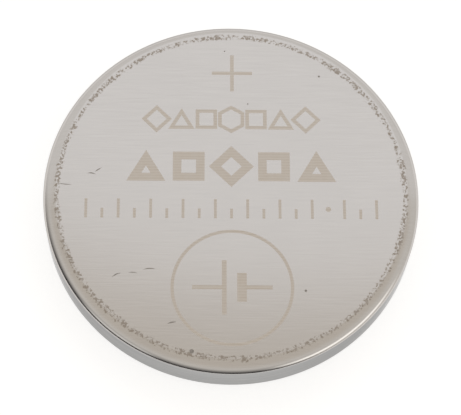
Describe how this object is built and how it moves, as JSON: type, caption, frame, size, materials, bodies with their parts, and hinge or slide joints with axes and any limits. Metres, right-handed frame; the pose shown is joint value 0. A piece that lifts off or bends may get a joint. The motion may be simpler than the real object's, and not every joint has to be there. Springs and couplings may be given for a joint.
{
  "type": "lithium coin cell",
  "caption": "Round flat lithium coin cell with a crimped steel can, negative cap, gasket and electrodes, for holders that grip a 20 mm disc.",
  "frame": {"origin": "centre of the negative contact face, which is the lowest face of the cell", "axes": "+Z along the axis of the cell, from the negative face to the positive face; +Y is up for the marks on the positive face"},
  "size_m": [0.02, 0.02, 0.0032],
  "materials": {
    "can_steel": "satin, finely brushed, scuffed round the edge of the flat",
    "cap_steel": "satin, matt rolled face",
    "gasket_polypropylene": "smooth moulded polypropylene",
    "lithium_metal": "soft dull silver metal",
    "separator_nonwoven": "white non-woven felt",
    "cathode_powder": "pressed black powder",
    "ring_steel": "plain stamped steel"
  },
  "bodies": {
    "root": {"positive_can": "can_steel", "negative_cap": "cap_steel", "gasket": "gasket_polypropylene", "lithium_anode": "lithium_metal", "separator": "separator_nonwoven", "cathode_pellet": "cathode_powder", "cathode_ring": "ring_steel"}
  },
  "joints": []
}
